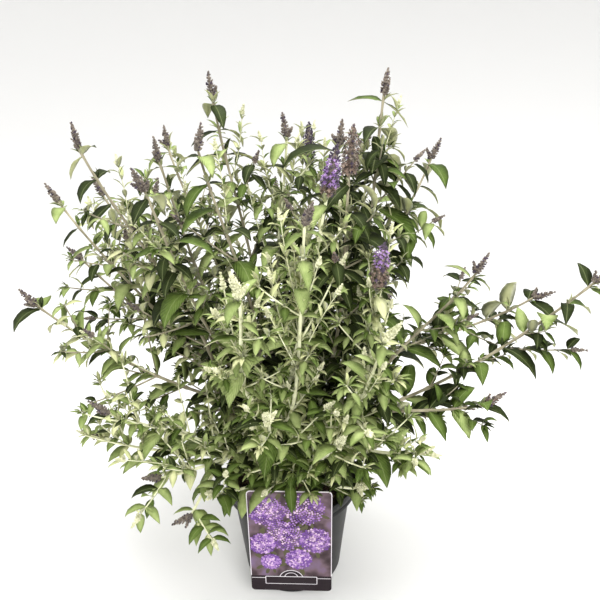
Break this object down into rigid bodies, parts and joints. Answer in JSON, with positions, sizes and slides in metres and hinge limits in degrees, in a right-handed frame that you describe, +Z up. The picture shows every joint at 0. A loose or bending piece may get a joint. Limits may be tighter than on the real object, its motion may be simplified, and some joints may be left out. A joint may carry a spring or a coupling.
{
  "type": "potted butterfly bush",
  "caption": "Bushy flowering shrub with slender arching shoots, paired narrow leaves and upright flower spikes, in a round black nursery pot with a hanging picture card.",
  "frame": {"origin": "centre of the pot's flat underside", "axes": "+Z up, -Y towards the side that the picture card hangs on, +X to the right of someone who faces the card"},
  "size_m": [0.8147, 0.5834, 0.7931],
  "materials": {
    "pot": "moulded black polypropylene with a soft sheen",
    "soil": "moist bark-and-peat potting soil",
    "card": "glossy printed plastic card with a plain pale edge",
    "old_wood": "rough grey-brown bark",
    "bough_bark": "thin straw-brown bark",
    "foliage": "matt green leaves, pale grey felt beneath",
    "young_stem": "pale felted green stems",
    "blossom": "small violet flowers and grey-brown buds"
  },
  "bodies": {
    "root": {"bough_back": "bough_bark", "bough_front": "bough_bark", "bough_front_low": "bough_bark", "bough_left_back": "bough_bark", "bough_left_far": "bough_bark", "bough_left_low": "bough_bark", "bough_left_top": "bough_bark", "bough_right_back": "bough_bark", "bough_right_far": "bough_bark", "bough_right_front": "bough_bark", "bough_right_top": "bough_bark", "bough_top": "bough_bark", "foliage_back_1": "foliage", "foliage_back_2": "foliage", "foliage_back_3": "foliage", "foliage_basal_back": "foliage", "foliage_basal_back_left": "foliage", "foliage_basal_back_right": "foliage", "foliage_basal_front_left": "foliage", "foliage_basal_front_right": "foliage", "foliage_basal_left": "foliage", "foliage_basal_right": "foliage", "foliage_front_1": "foliage", "foliage_front_2": "foliage", "foliage_front_3": "foliage", "foliage_front_low_1": "foliage", "foliage_front_low_2": "foliage", "foliage_left_back_1": "foliage", "foliage_left_back_2": "foliage", "foliage_left_back_3": "foliage", "foliage_left_far_1": "foliage", "foliage_left_far_2": "foliage", "foliage_left_far_3": "foliage", "foliage_left_low_1": "foliage", "foliage_left_low_2": "foliage", "foliage_left_low_3": "foliage", "foliage_left_low_4": "foliage", "foliage_left_top_1": "foliage", "foliage_left_top_2": "foliage", "foliage_left_top_3": "foliage", "foliage_left_top_4": "foliage", "foliage_right_back_1": "foliage", "foliage_right_back_2": "foliage", "foliage_right_far_1": "foliage", "foliage_right_far_2": "foliage", "foliage_right_far_3": "foliage", "foliage_right_front_1": "foliage", "foliage_right_front_2": "foliage", "foliage_right_front_3": "foliage", "foliage_right_top_1": "foliage", "foliage_right_top_2": "foliage", "foliage_right_top_3": "foliage", "foliage_top_1": "foliage", "foliage_top_2": "foliage", "foliage_top_3": "foliage", "picture_card": "card", "pot": "pot", "soil": "soil", "stool": "old_wood"}
  },
  "joints": []
}
